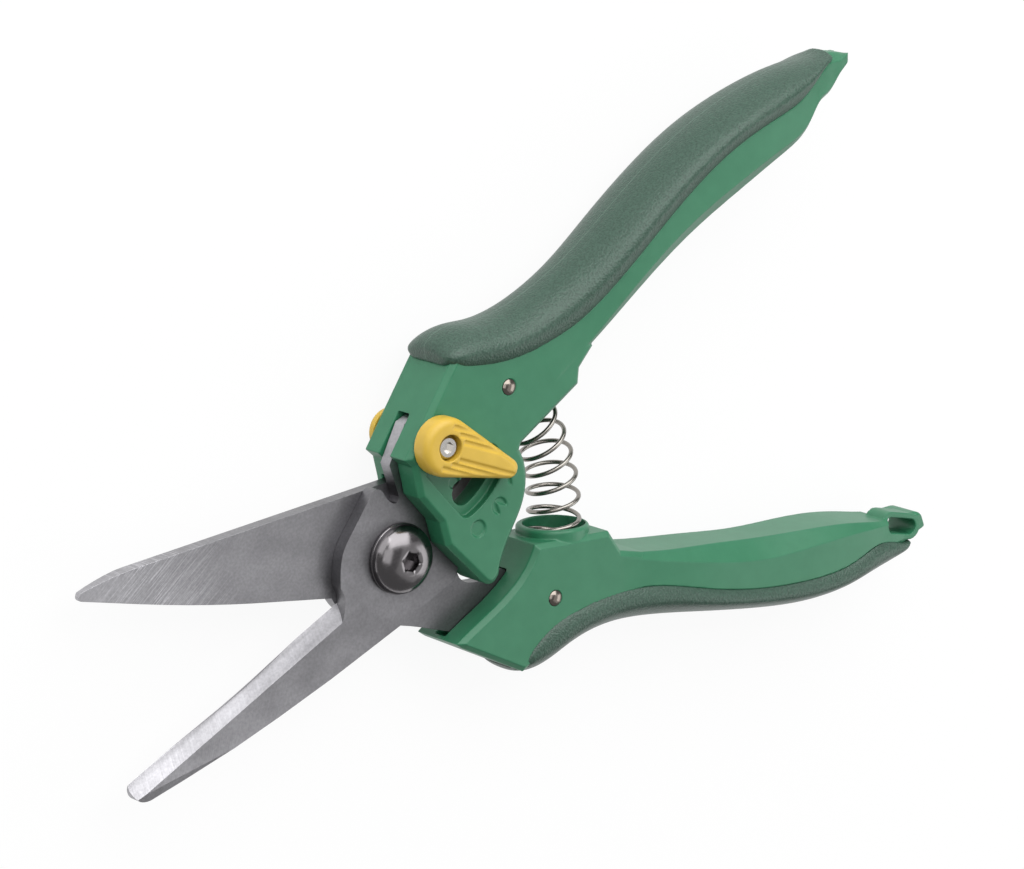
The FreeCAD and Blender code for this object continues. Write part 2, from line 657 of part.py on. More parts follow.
def upper_grip(core):
    """Textured soft grip of the upper handle."""
    nose = stations([
        ((16.7, 24.0), (16.5, 32.2), (16.5, 34.0), 0.0, 0.5, 0.43),
        ((18.1, 24.0), (17.9, 31.3), (17.8, 35.9), 0.0, 0.5, 0.86),
        ((22.0, 22.0), (22.0, 29.8), (22.1, 36.7), 0.0, 0.5, 0.97),
        ((28.5, 20.0), (28.0, 28.4), (27.6, 35.7), 0.0, 0.5),
    ])
    tail = stations([
        ((112.6, 47.0), (112.6, 51.9), (112.9, 54.9), 0.0, 0.5, 0.74),
        ((116.6, 48.4), (116.9, 52.9), (117.9, 55.2), 0.0, 0.5, 0.46),
    ])
    return grip(nose + upper_arm[1:8] + tail, core, upper_mid_z)


def lower_grip(core):
    """Textured soft grip of the lower handle."""
    nose = stations([
        ((19.0, -21.0), (17.4, -28.6), (17.0, -30.0), 0.0, 0.5, 0.43),
        ((21.0, -21.0), (20.2, -27.8), (19.6, -32.6), 0.0, 0.5, 0.86),
        ((25.5, -18.0), (25.2, -25.9), (24.6, -33.5), 0.0, 0.5, 0.97),
        ((31.5, -17.0), (31.5, -24.9), (31.0, -32.4), 0.0, 0.5),
    ])
    tail = stations([
        ((111.2, -41.2), (110.9, -45.7), (111.4, -49.2), 0.0, 0.5, 0.68),
        ((114.2, -42.0), (114.0, -46.8), (114.9, -48.3), 0.0, 0.5, 0.42),
    ])
    core = core.fuse(hang_slot(0.0, arm_thickness, arm_thickness))
    return grip(nose + lower_arm[1:8] + tail, core, lower_mid_z)


def tang_pin(place, mid_z):
    """Rivet through a handle and its blade's tang, with a low dome at each end."""
    half = head_thickness / 2
    pin = disc(*place, tang_pin_radius, mid_z - half, mid_z + half)
    ball = (tang_pin_radius ** 2 + tang_pin_head ** 2) / (2 * tang_pin_head)
    for side in (1, -1):
        centre = Vec(place[0], place[1], mid_z + side * (half + tang_pin_head - ball))
        dome = Part.makeSphere(ball, centre)
        dome = dome.common(disc(*place, tang_pin_radius, mid_z - FAR, mid_z + FAR))
        keep = (mid_z + half - 0.1, FAR) if side > 0 else (-FAR, mid_z - half + 0.1)
        pin = pin.fuse(dome.common(disc(*place, 2 * tang_pin_radius, *keep)))
    return only_solid(pin.removeSplitter())


# ---------------------------------------------------------------- spring
def handle_spring():
    """Compression spring whose centre line is an arc about the pivot."""
    steps = 16
    points = []
    for step in range(int(spring_turns * steps) + 1):
        share = step / (spring_turns * steps)
        angle = spring_start_angle + (spring_end_angle - spring_start_angle) * share
        z = lower_mid_z + (upper_mid_z - lower_mid_z) * share
        turn = -2 * math.pi * (spring_turns * share + spring_lead)
        points.append(polar(spring_orbit + spring_radius * math.cos(turn), angle,
                            z + spring_radius * math.sin(turn)))
    path = Part.BSplineCurve()
    path.interpolate(points)
    wire = Part.Wire([path.toShape()])
    start = points[0]
    section = Part.Wire([Part.Circle(start, path.tangent(path.FirstParameter)[0],
                                     spring_wire / 2).toShape()])
    return only_solid(wire.makePipeShell([section], True, True))


# ---------------------------------------------------------------- latch
def lever_outer_face(side):
    """Height of a lever's outer face, on the front (1) or the back (-1)."""
    thickness = lever_thickness if side > 0 else back_thickness
    return upper_mid_z + side * (head_thickness / 2 + lever_gap + thickness)


def lever_plan(angle, hub_radius, tip_radius):
    """Teardrop between a hub circle and a tip circle, pointing along an angle."""
    lean = math.degrees(math.acos((hub_radius - tip_radius) / lever_length))
    hub = about_latch(0, 0)
    tip = about_latch(lever_length, angle)
    left = polar(1.0, angle + lean)
    right = polar(1.0, angle - lean)
    edges = [
        Part.Arc(hub + left * hub_radius, hub - polar(hub_radius, angle),
                 hub + right * hub_radius).toShape(),
        Part.makeLine(hub + right * hub_radius, tip + right * tip_radius),
        Part.Arc(tip + right * tip_radius, tip + polar(tip_radius, angle),
                 tip + left * tip_radius).toShape(),
        Part.makeLine(tip + left * tip_radius, hub + left * hub_radius),
    ]
    return Part.Face(Part.Wire(edges))


def lever_body(side, plan, rim_radius):
    """Plate of a lever with its boss in the cheek, bored for the screw and the cross pin."""
    face = upper_mid_z + side * (head_thickness / 2 + lever_gap)
    top = lever_outer_face(side)
    lever = rounded(slab(plan, *sorted((face, top))), rim_radius, top)
    boss_end = upper_mid_z + side * seat_clearance
    lever = lever.fuse(disc(latch_x, latch_y, latch_boss_radius, *sorted((face, boss_end))))
    lever = lever.cut(disc(latch_x, latch_y, latch_screw_radius + seat_clearance, 0, FAR))
    return lever.cut(latch_pin_shape(seat_clearance))


def front_lever():
    """Thumb lever with finger ribs along its lower side and a pocket for the screw's head."""
    plan = lever_plan(latch_rest_angle - lever_lean, lever_hub_radius, lever_tip_radius)
    lever = lever_body(1, plan, lever_rim_radius)
    top = lever_outer_face(1)
    for number, start in enumerate((2.6, 1.2, -0.6)):
        for side in (-1, 1):
            offset = polar(side * (lever_band + number * lever_groove_step), latch_rest_angle + 90)
            middle = about_latch(start, latch_rest_angle) + offset
            middle.z = top + lever_groove_radius - lever_groove_depth
            lever = lever.cut(Part.makeCylinder(lever_groove_radius, 2 * lever_length, middle,
                                                polar(1.0, latch_rest_angle)))
    room = latch_screw_head_radius + latch_screw_pocket
    pocket = disc(latch_x, latch_y, room, top - latch_screw_sink, FAR)
    return only_solid(lever.cut(pocket))


def back_lever():
    """Smaller lever on the back, with a hexagonal seat for the nut."""
    plan = lever_plan(latch_rest_angle - lever_lean, back_hub_radius, back_tip_radius)
    lever = lever_body(-1, plan, back_rim_radius)
    seat = latch_nut_seat()
    pocket = hexagon(latch_nut_flats + 2 * seat_clearance, -1, seat, latch_x, latch_y)
    return only_solid(lever.cut(pocket))


def latch_nut_seat():
    """Level of the nut's inner face, sunk so that its outer face is just inside the lever's."""
    return lever_outer_face(-1) + latch_nut_height + latch_nut_recess


def latch_pin_shape(extra):
    """The cross pin's cylinder, grown by a clearance, from one lever's pocket to the other's."""
    place = about_latch(latch_pin_orbit, latch_rest_angle)
    low = (upper_back_z - lever_gap + lever_outer_face(-1)) / 2
    high = (upper_face_z + lever_gap + lever_outer_face(1)) / 2
    return disc(place.x, place.y, latch_pin_radius + extra, low - extra, high + extra)


def latch_pin():
    """Steel cross pin that runs in both cheeks' curved slots and stops the rear blade's tooth."""
    return only_solid(latch_pin_shape(0))


def latch_screw():
    """Screw that clamps the two levers together."""
    seat = lever_outer_face(1) - latch_screw_sink
    shank = disc(latch_x, latch_y, latch_screw_radius, latch_nut_seat() - latch_nut_height, seat)
    head = disc(latch_x, latch_y, latch_screw_head_radius, seat, seat + latch_screw_head_height)
    head = bevelled(head, latch_screw_head_chamfer, (seat + latch_screw_head_height,))
    socket = hexagon(latch_socket_flats, seat + 0.5, FAR, latch_x, latch_y)
    return only_solid(shank.fuse(head).cut(socket))


def latch_nut():
    """Hexagon nut sunk in the back lever."""
    seat = latch_nut_seat()
    nut = hexagon(latch_nut_flats, seat - latch_nut_height, seat, latch_x, latch_y)
    return only_solid(nut.cut(disc(latch_x, latch_y, latch_screw_radius + seat_clearance, 0, FAR)))


# ---------------------------------------------------------------- build
def build():
    """Every piece under its node's name."""
    upper = upper_handle()
    lower = lower_handle()
    return {
        "front_blade": front_blade(),
        "rear_blade": rear_blade(),
        "pivot_bolt": pivot_bolt(),
        "pivot_washer": pivot_washer(),
        "pivot_nut": pivot_nut(),
        "nut_ring": nut_ring(),
        "upper_handle": upper,
        "upper_grip": upper_grip(upper),
        "upper_tang_pin": tang_pin(upper_pin, upper_mid_z),
        "lower_handle": lower,
        "lower_grip": lower_grip(lower),
        "lower_tang_pin": tang_pin(lower_pin, lower_mid_z),
        "handle_spring": handle_spring(),
        "latch_lever_front": front_lever(),
        "latch_lever_back": back_lever(),
        "latch_screw": latch_screw(),
        "latch_nut": latch_nut(),
        "latch_pin": latch_pin(),
    }


os.makedirs("parts", exist_ok=True)
for name, piece in build().items():
    piece.exportStep(f"parts/{name}.step")
    print(name, "valid" if piece.isValid() else "NOT VALID", round(piece.Volume, 2), "mm3")
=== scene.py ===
"""Pruning shears: the looks of every piece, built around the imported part."""
import math

import bmesh
import bpy
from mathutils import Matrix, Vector


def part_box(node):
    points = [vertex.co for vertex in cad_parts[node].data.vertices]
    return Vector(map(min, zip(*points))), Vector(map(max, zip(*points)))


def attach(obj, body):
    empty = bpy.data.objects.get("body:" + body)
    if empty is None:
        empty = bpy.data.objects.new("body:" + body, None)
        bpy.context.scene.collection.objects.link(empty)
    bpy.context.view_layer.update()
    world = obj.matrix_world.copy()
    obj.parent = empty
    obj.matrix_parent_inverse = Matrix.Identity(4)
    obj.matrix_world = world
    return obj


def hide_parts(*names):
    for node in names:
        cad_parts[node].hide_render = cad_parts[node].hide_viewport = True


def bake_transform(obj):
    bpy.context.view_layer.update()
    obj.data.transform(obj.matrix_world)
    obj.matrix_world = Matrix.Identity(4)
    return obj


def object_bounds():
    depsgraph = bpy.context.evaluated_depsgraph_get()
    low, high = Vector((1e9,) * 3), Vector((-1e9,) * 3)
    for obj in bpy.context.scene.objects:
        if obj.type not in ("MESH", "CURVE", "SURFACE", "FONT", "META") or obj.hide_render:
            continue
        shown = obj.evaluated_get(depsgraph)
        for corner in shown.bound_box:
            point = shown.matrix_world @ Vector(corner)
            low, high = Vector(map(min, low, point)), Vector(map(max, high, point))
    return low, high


bl_info = {
    "name": "Pruning Shears",
    "version": (1, 0, 0),
    "blender": (4, 5, 0),
    "location": "View3D > Sidebar > Shears",
    "description": "Gives a pair of pruning shears its real materials and fine shapes",
    "category": "Object",
}

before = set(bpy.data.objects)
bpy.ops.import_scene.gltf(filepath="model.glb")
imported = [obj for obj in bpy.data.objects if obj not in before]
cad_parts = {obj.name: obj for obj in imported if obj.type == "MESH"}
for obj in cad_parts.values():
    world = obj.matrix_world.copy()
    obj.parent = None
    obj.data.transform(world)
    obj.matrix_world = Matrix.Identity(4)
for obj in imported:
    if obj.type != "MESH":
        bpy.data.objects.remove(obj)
CAD_BOX = [list(corner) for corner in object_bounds()]
MM = 0.001

# Sides of a turned piece: a multiple of twelve puts the socket's corners on vertices.
SIDES = 96
DOME_STEPS = 16
WIRE_STEPS_A_TURN = 40

# Nearly all of a noise lies between these, which a Map Range node takes as its "from" values.
NOISE = (0.3, 0.7)

# Stretches of x along the blades, measured from the pivot: the tip is at the negative end.
# Over the first stretch the blades' colour is darkened as painted shade: least at the tip, most
# round the pivot and the tangs, where the handles and the bolt head shade them.
LIT_TO_SHADED = (-60 * MM, 25 * MM)
SCRATCHES_BEGIN = (-62 * MM, -54 * MM)
SCRATCHES_END = (-48 * MM, -32 * MM)


# ---------------------------------------------------------------- colours and nodes
def linear(code):
    """Linear red, green and blue of an sRGB hex colour."""
    channels = [int(code[place:place + 2], 16) / 255 for place in (1, 3, 5)]
    return [c / 12.92 if c <= 0.04045 else ((c + 0.055) / 1.055) ** 2.4 for c in channels]


def feed(tree, node, inputs):
    """Fills or links the inputs of a node, given by name or in order.

    Each takes a value, a colour, the output of a node, or a node for its first output in use.
    """
    pairs = inputs.items() if isinstance(inputs, dict) else enumerate(inputs)
    for name, value in pairs:
        socket = node.inputs[name]
        if isinstance(value, bpy.types.Node):
            value = next(output for output in value.outputs if output.enabled)
        if isinstance(value, bpy.types.NodeSocket):
            tree.links.new(value, socket)
        elif socket.type == "RGBA":
            socket.default_value = (*value[:3], 1.0)
        else:
            socket.default_value = value


def add_node(tree, kind, inputs=(), **settings):
    """Adds a node with its settings, and fills or links its inputs."""
    node = tree.nodes.new("ShaderNode" + kind)
    for field, value in settings.items():
        setattr(node, field, value)
    feed(tree, node, inputs)
    return node


def new_material(name):
    """An empty material, its node tree and its output node."""
    material = bpy.data.materials.new(name)
    material.use_nodes = True
    tree = material.node_tree
    tree.nodes.clear()
    return material, tree, add_node(tree, "OutputMaterial")


def plain_material(name, colour, metallic, roughness, **sockets):
    """A material with one Principled shader, and the tree and shader to add detail to."""
    material, tree, output = new_material(name)
    shader = add_node(tree, "BsdfPrincipled", {
        "Base Color": colour, "Metallic": metallic, "Roughness": roughness, **sockets,
    })
    feed(tree, output, {"Surface": shader})
    return material, tree, shader


def stretched_noise(tree, along, across, angle=0.0, detail=2.0, deep=None):
    """Noise drawn out along one direction: its grain's length, width and depth in metres."""
    place = add_node(tree, "TexCoord")
    turned = add_node(tree, "Mapping", {
        "Vector": place.outputs["Object"], "Rotation": (0, 0, -math.radians(angle)),
    })
    drawn = add_node(tree, "Mapping", {
        "Vector": turned, "Scale": (1 / along, 1 / across, 1 / (deep or across)),
    })
    return add_node(tree, "TexNoise", {"Vector": drawn, "Scale": 1.0, "Detail": detail})


# ---------------------------------------------------------------- settings
class BladeSettings(bpy.types.PropertyGroup):
    """Ground steel of the two blades."""
    steel: bpy.props.FloatVectorProperty(
        name="Steel", description="Colour of the ground steel",
        subtype="COLOR", size=3, min=0, max=1, default=linear("#b4b3b7"))
    grind_width: bpy.props.FloatProperty(
        name="Grind marks", description="Distance between two marks of the grinding wheel",
        unit="LENGTH", default=0.16 * MM)
    grind_length: bpy.props.FloatProperty(
        name="Mark length", description="Length of one grinding mark",
        unit="LENGTH", default=7.0 * MM)
    edge: bpy.props.FloatProperty(
        name="Broken edge", description="Width of the fine round on every edge",
        unit="LENGTH", default=0.1 * MM)


class HandleSettings(bpy.types.PropertyGroup):
    """Moulded nylon handles with their soft grips."""
    nylon: bpy.props.FloatVectorProperty(
        name="Nylon", description="Colour of the hard handles",
        subtype="COLOR", size=3, min=0, max=1, default=linear("#286f4e"))
    rubber: bpy.props.FloatVectorProperty(
        name="Grip", description="Colour of the soft grips",
        subtype="COLOR", size=3, min=0, max=1, default=linear("#274034"))
    skin: bpy.props.FloatProperty(
        name="Skin", description="Mesh spacing on a moulded piece, which sets its edge rounds",
        unit="LENGTH", default=0.16 * MM)
    grain: bpy.props.FloatProperty(
        name="Grain", description="Size of the grip's leather-like grain",
        unit="LENGTH", default=0.38 * MM)


class BoltSettings(bpy.types.PropertyGroup):
    """Pivot bolt with its polished dome, washer and lock nut."""
    steel: bpy.props.FloatVectorProperty(
        name="Steel", description="Colour of the polished bolt",
        subtype="COLOR", size=3, min=0, max=1, default=linear("#7b787a"))
    zinc: bpy.props.FloatVectorProperty(
        name="Zinc", description="Colour of the plated washer and nut",
        subtype="COLOR", size=3, min=0, max=1, default=linear("#a5a8ab"))
    collar: bpy.props.FloatVectorProperty(
        name="Collar", description="Colour of the nut's nylon ring",
        subtype="COLOR", size=3, min=0, max=1, default=linear("#d8dcd6"))
    radius: bpy.props.FloatProperty(
        name="Head radius", description="Radius of the domed head",
        unit="LENGTH", default=6.6 * MM)
    rim: bpy.props.FloatProperty(
        name="Rim", description="Height of the head's straight rim",
        unit="LENGTH", default=0.7 * MM)
    flats: bpy.props.FloatProperty(
        name="Socket", description="Width across the flats of the hexagon socket",
        unit="LENGTH", default=3.2 * MM)
    mouth: bpy.props.FloatProperty(
        name="Mouth", description="Radius of the dome's flat top round the socket",
        unit="LENGTH", default=2.3 * MM)
    depth: bpy.props.FloatProperty(
        name="Socket depth", description="Depth of the hexagon socket",
        unit="LENGTH", default=2.4 * MM)
    chamfer: bpy.props.FloatProperty(
        name="Chamfer", description="Width of the chamfers under the head and at the socket",
        unit="LENGTH", default=0.2 * MM)
    shoulder: bpy.props.FloatProperty(
        name="Shoulder", description="Radius of the plain shoulder through both blades",
        unit="LENGTH", default=4.0 * MM)
    thread: bpy.props.FloatProperty(
        name="Thread", description="Radius of the threaded end",
        unit="LENGTH", default=3.0 * MM)


class SpringSettings(bpy.types.PropertyGroup):
    """Wire spring between the handles."""
    steel: bpy.props.FloatVectorProperty(
        name="Steel", description="Colour of the drawn wire",
        subtype="COLOR", size=3, min=0, max=1, default=linear("#95918b"))
    orbit: bpy.props.FloatProperty(
        name="Orbit", description="Distance from the pivot to the spring's curved centre line",
        unit="LENGTH", default=37.9 * MM)
    radius: bpy.props.FloatProperty(
        name="Coil radius", description="Mean radius of the coil",
        unit="LENGTH", default=4.8 * MM)
    wire: bpy.props.FloatProperty(
        name="Wire", description="Diameter of the wire",
        unit="LENGTH", default=0.85 * MM)
    turns: bpy.props.FloatProperty(
        name="Turns", description="Number of turns from seat to seat", default=8.5)
    lead: bpy.props.FloatProperty(
        name="Lead", description="Share of a turn at which the wire starts on the lower seat",
        default=0.42)
    start: bpy.props.FloatProperty(
        name="Lower seat", description="Angle of the lower seat about the pivot",
        subtype="ANGLE", default=math.radians(-23.0))
    end: bpy.props.FloatProperty(
        name="Upper seat", description="Angle of the upper seat about the pivot",
        subtype="ANGLE", default=math.radians(31.0))


class LatchSettings(bpy.types.PropertyGroup):
    """Yellow latch levers with their screw, nut and pins."""
    nylon: bpy.props.FloatVectorProperty(
        name="Nylon", description="Colour of the levers",
        subtype="COLOR", size=3, min=0, max=1, default=linear("#c9a639"))
    nickel: bpy.props.FloatVectorProperty(
        name="Nickel", description="Colour of the plated screw and nut",
        subtype="COLOR", size=3, min=0, max=1, default=linear("#cfccc8"))
    pins: bpy.props.FloatVectorProperty(
        name="Pins", description="Colour of the drawn pins",
        subtype="COLOR", size=3, min=0, max=1, default=linear("#8e857d"))
    skin: bpy.props.FloatProperty(
        name="Skin", description="Mesh spacing on a lever, which sets its edge rounds",
        unit="LENGTH", default=0.16 * MM)


class StageSettings(bpy.types.PropertyGroup):
    """Floor, lamps and camera."""
    floor: bpy.props.FloatVectorProperty(
        name="Floor", description="Colour of the floor",
        subtype="COLOR", size=3, min=0, max=1, default=linear("#f4f4f4"))
    glow: bpy.props.FloatProperty(
        name="Floor glow", description="Share of the floor's white that is even", default=0.92)
    world: bpy.props.FloatProperty(
        name="Room light", description="Strength of the even light from the room", default=0.24)
    lens: bpy.props.FloatProperty(
        name="Lens", description="Focal length of the camera", default=174.02)


# ---------------------------------------------------------------- materials
def ground_blade_steel(name, settings, angle, scratched, lit_from):
    """High-carbon steel, ground flat: satin grey, fine marks all one way, painted shade near the
    pivot.

    The angle is that of the marks in degrees, scratched says how bright those near the tip
    are, and upwards from the height y that the last argument gives, painted light brightens
    the steel. The wheel's real marks are finer: they are drawn as coarse as they need to be to
    show.
    """
    material, tree, shader = plain_material(name, settings.steel, metallic=1.0,
                                            roughness=0.42)
    length, width = settings.grind_length, settings.grind_width
    marks = stretched_noise(tree, length, width, angle, detail=3.0, deep=length)
    scores = stretched_noise(tree, length * 0.7, width, angle, detail=1.0, deep=length)
    clouds = stretched_noise(tree, 9 * MM, 7 * MM, detail=3.0)
    specks = stretched_noise(tree, 0.5 * MM, 0.5 * MM, detail=2.0)
    axes = add_node(tree, "SeparateXYZ", [add_node(tree, "TexCoord").outputs["Object"]])
    along, up = axes.outputs["X"], axes.outputs["Y"]
    # Painted shade and light: a factor that darkens the steel towards the pivot and brightens it
    # above a given height.
    bright = add_node(tree, "Math", [
        add_node(tree, "MapRange", [along, *LIT_TO_SHADED, 1.0, 0.27]),
        add_node(tree, "MapRange", [up, lit_from, lit_from + 8 * MM, 0.0, 1.1]),
    ], operation="MAXIMUM")
    patch = add_node(tree, "Math", [
        add_node(tree, "MapRange", [along, *SCRATCHES_BEGIN, 0.1, scratched]),
        add_node(tree, "MapRange", [along, *SCRATCHES_END, scratched, 0.05]),
    ], operation="MINIMUM")
    scored = add_node(tree, "Math", [
        add_node(tree, "MapRange", [scores, 0.48, 0.72, 0.0, 1.0]), patch,
    ], operation="MULTIPLY")
    shade = add_node(tree, "Mix", {
        "Factor": add_node(tree, "MapRange", [clouds, *NOISE, 0.0, 1.0]),
        "A": [channel * 0.78 for channel in settings.steel], "B": settings.steel,
    }, data_type="RGBA")
    lit = add_node(tree, "Mix", {
        "Factor": scored, "A": shade, "B": [min(1.0, channel * 1.5) for channel in settings.steel],
    }, data_type="RGBA")
    specks_and_painted_shade = add_node(tree, "Math", [
        bright, add_node(tree, "MapRange", [specks, *NOISE, 0.91, 1.09]),
    ], operation="MULTIPLY")
    # The painted shade and light is multiplied into the steel's colour here, together with random
    # specks.
    painted_shade_steel = add_node(tree, "Mix", {
        "Factor": 1.0, "A": lit, "B": specks_and_painted_shade,
    }, data_type="RGBA", blend_type="MULTIPLY")
    satin = add_node(tree, "MapRange", [marks, *NOISE, 0.34, 0.48])
    height = add_node(tree, "Math", [scored, 1.2, marks], operation="MULTIPLY_ADD")
    bump = add_node(tree, "Bump", {"Height": height, "Strength": 0.45, "Distance": 0.012 * MM})
    feed(tree, shader, {"Base Color": painted_shade_steel, "Roughness": satin, "Normal": bump})
    return material


def moulded_nylon(name, colour, roughness):
    """Glass-filled nylon from a spark-finished mould: even, half glossy, faintly mottled.

    The mould's real pits are finer: they are drawn as coarse as they need to be to show.
    """
    material, tree, shader = plain_material(name, colour, metallic=0.0,
                                            roughness=roughness, IOR=1.53)
    mottle = stretched_noise(tree, 3.0 * MM, 3.0 * MM, detail=4.0)
    shade = add_node(tree, "Mix", {
        "Factor": add_node(tree, "MapRange", [mottle, *NOISE, 0.0, 1.0]),
        "A": colour, "B": [min(1.0, channel * 1.08 + 0.004) for channel in colour],
    }, data_type="RGBA")
    pits = stretched_noise(tree, 0.25 * MM, 0.25 * MM, detail=2.0)
    bump = add_node(tree, "Bump", {"Height": pits, "Strength": 0.22, "Distance": 0.03 * MM})
    feed(tree, shader, {"Base Color": shade, "Normal": bump})
    return material


def grained_rubber(name, settings, parting):
    """Thermoplastic rubber moulded over the handle: leather-like grain with painted highlights on
    its tops.

    A thin painted highlight marks the real parting line, which runs round it at the height called
    parting, where the mould's halves met.
    """
    material, tree, shader = plain_material(name, settings.rubber, metallic=0.0,
                                            roughness=0.38, IOR=1.5)
    place = add_node(tree, "TexCoord").outputs["Object"]
    cells = add_node(tree, "TexVoronoi", {
        "Vector": place, "Scale": 1 / settings.grain, "Randomness": 1.0, "Smoothness": 0.6,
    }, feature="SMOOTH_F1")
    wrinkles = stretched_noise(tree, settings.grain * 1.4, settings.grain * 1.4, detail=3.0)
    height = add_node(tree, "Math", [cells.outputs["Distance"], wrinkles], operation="ADD")
    axes = add_node(tree, "SeparateXYZ", [place])
    # Painted highlight: a thin pale band at the parting height, standing in for light caught by
    # the real mould line.
    parting_highlight = add_node(tree, "Math", [
        axes.outputs["Z"], parting, 0.07 * MM,
    ], operation="COMPARE")
    # Painted highlight: the grain's raised tops are drawn paler than the rubber.
    grain_highlights = add_node(tree, "Mix", {
        "Factor": add_node(tree, "MapRange", [height, 0.5, 1.2, 0.0, 1.0]),
        "A": settings.rubber,
        "B": [min(1.0, channel * 1.6 + 0.008) for channel in settings.rubber],
    }, data_type="RGBA")
    shade = add_node(tree, "Mix", {
        "Factor": parting_highlight, "A": grain_highlights,
        "B": [min(1.0, channel * 2.2 + 0.05) for channel in settings.rubber],
    }, data_type="RGBA")
    bump = add_node(tree, "Bump", {"Height": height, "Strength": 0.75, "Distance": 0.1 * MM})
    feed(tree, shader, {"Base Color": shade, "Normal": bump})
    return material


def polished_steel(name, colour, roughness, streak=0.5 * MM):
    """Turned, drawn or plated steel, polished: a soft mirror with faint cloudy streaks.

    The real marks of polishing are finer: they are drawn as coarse as they need to be to show.
    """
    material, tree, shader = plain_material(name, colour, metallic=1.0, roughness=roughness)
    streaks = stretched_noise(tree, streak * 4, streak, detail=3.0)
    cloudy = add_node(tree, "MapRange", [streaks, *NOISE, roughness * 0.8, roughness * 1.3])
    feed(tree, shader, {"Roughness": cloudy})
    return material


# ---------------------------------------------------------------- shapes
def new_piece(name, mesh, body, material):
    """A piece of the object that rides on a body and takes its finish from a slot."""
    mesh.shade_smooth()
    mesh.materials.clear()
    mesh.materials.append(material)
    piece = bpy.data.objects.new(name, mesh)
    bpy.context.scene.collection.objects.link(piece)
    if body:
        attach(piece, body)
    return piece


def finished_mesh(data, modifiers=()):
    """The mesh that mesh or curve data gives with its modifiers: each a kind and its settings."""
    source = bpy.data.objects.new("source", data)
    bpy.context.scene.collection.objects.link(source)
    for kind, settings in modifiers:
        modifier = source.modifiers.new(kind, kind)
        for field, value in settings.items():
            setattr(modifier, field, value)
    depsgraph = bpy.context.evaluated_depsgraph_get()
    mesh = bpy.data.meshes.new_from_object(source.evaluated_get(depsgraph))
    bpy.data.objects.remove(source)
    return mesh


def moulded_mesh(node, skin, passes):
    """The mesh of a CAD node with the small edge rounds that a mould leaves."""
    return finished_mesh(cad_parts[node].data.copy(), (
        ("REMESH", {"mode": "VOXEL", "voxel_size": skin}),
        ("SMOOTH", {"factor": 0.5, "iterations": passes}),
    ))


def ground_mesh(node, edge):
    """The mesh of a CAD node with its sharp edges broken by a hair, as after deburring."""
    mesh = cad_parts[node].data.copy()
    bm = bmesh.new()
    bm.from_mesh(mesh)
    bmesh.ops.remove_doubles(bm, verts=bm.verts, dist=0.001 * MM)
    bmesh.ops.dissolve_limit(bm, angle_limit=math.radians(1.0), verts=bm.verts, edges=bm.edges)
    bm.to_mesh(mesh)
    bm.free()
    return finished_mesh(mesh, (("BEVEL", {
        "width": edge, "segments": 2, "limit_method": "ANGLE", "angle_limit": math.radians(32),
    }),))


def dress(node, material):
    """Gives a CAD node its material."""
    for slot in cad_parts[node].material_slots:
        slot.material = material


def ring(bm, radius, z, flats=0.0):
    """A ring of vertices, round or, with flats, pulled in to a hexagon that far across."""
    corners = []
    for number in range(SIDES):
        turn = 2 * math.pi * number / SIDES
        reach = radius
        if flats:
            nearest = round(turn / (math.pi / 3)) * math.pi / 3
            reach = flats / 2 / math.cos(turn - nearest)
        corners.append(bm.verts.new((reach * math.cos(turn), reach * math.sin(turn), z)))
    return corners


def bridge(bm, first, second):
    """Faces between two rings."""
    for number in range(SIDES):
        after = (number + 1) % SIDES
        bm.faces.new((first[number], first[after], second[after], second[number]))


def bolt_mesh(name, settings):
    """A bolt through both blades: domed head with a hexagon socket, shoulder and thread."""
    low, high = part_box("pivot_bolt")
    under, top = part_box("front_blade")[1].z, high.z
    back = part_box("rear_blade")[0].z
    chamfer, rim = settings.chamfer, under + settings.rim
    reach = settings.radius - chamfer / 2
    mouth = math.acos(settings.mouth / reach)
    bm = bmesh.new()
    head = [ring(bm, radius, z) for radius, z in (
        (settings.radius - chamfer, under),
        (settings.radius, under + chamfer),
        (settings.radius, rim - chamfer / 2),
    )]
    for step in range(DOME_STEPS + 1):
        lean = mouth * step / DOME_STEPS
        height = (top - rim) * math.sin(lean) / math.sin(mouth)
        head.append(ring(bm, reach * math.cos(lean), rim + height))
    head += [ring(bm, 0, z, flats) for flats, z in (
        (settings.flats + chamfer, top - chamfer),
        (settings.flats, top - 2 * chamfer),
        (settings.flats, top - settings.depth),
    )]
    for first, second in zip(head, head[1:]):
        bridge(bm, first, second)
    bm.faces.new(head[-1])
    shank = [ring(bm, radius, z) for radius, z in (
        (settings.shoulder, under),
        (settings.shoulder, back),
        (settings.thread, back),
        (settings.thread, low.z),
    )]
    bridge(bm, shank[0], head[0])
    for first, second in zip(shank, shank[1:]):
        bridge(bm, second, first)
    bm.faces.new(reversed(shank[-1]))
    bmesh.ops.recalc_face_normals(bm, faces=bm.faces)
    mesh = bpy.data.meshes.new(name)
    bm.to_mesh(mesh)
    bm.free()
    return mesh


def polar(reach, angle, z):
    """The place at a distance and an angle about the pivot, at a height."""
    return reach * math.cos(angle), reach * math.sin(angle), z


def wire_mesh(name, settings, start_z, end_z):
    """A coil of wire whose centre line bends round the pivot and climbs between two heights."""
    total = int(settings.turns * WIRE_STEPS_A_TURN)
    line = bpy.data.curves.new(name, "CURVE")
    line.dimensions = "3D"
    line.bevel_depth = settings.wire / 2
    line.bevel_resolution = 4
    line.use_fill_caps = True
    spline = line.splines.new("POLY")
    spline.points.add(total)
    for step in range(total + 1):
        share = step / total
        angle = settings.start + (settings.end - settings.start) * share
        turn = -2 * math.pi * (settings.turns * share + settings.lead)
        reach = settings.orbit + settings.radius * math.cos(turn)
        z = start_z + (end_z - start_z) * share + settings.radius * math.sin(turn)
        spline.points[step].co = (*polar(reach, angle, z), 1)
    return finished_mesh(line)


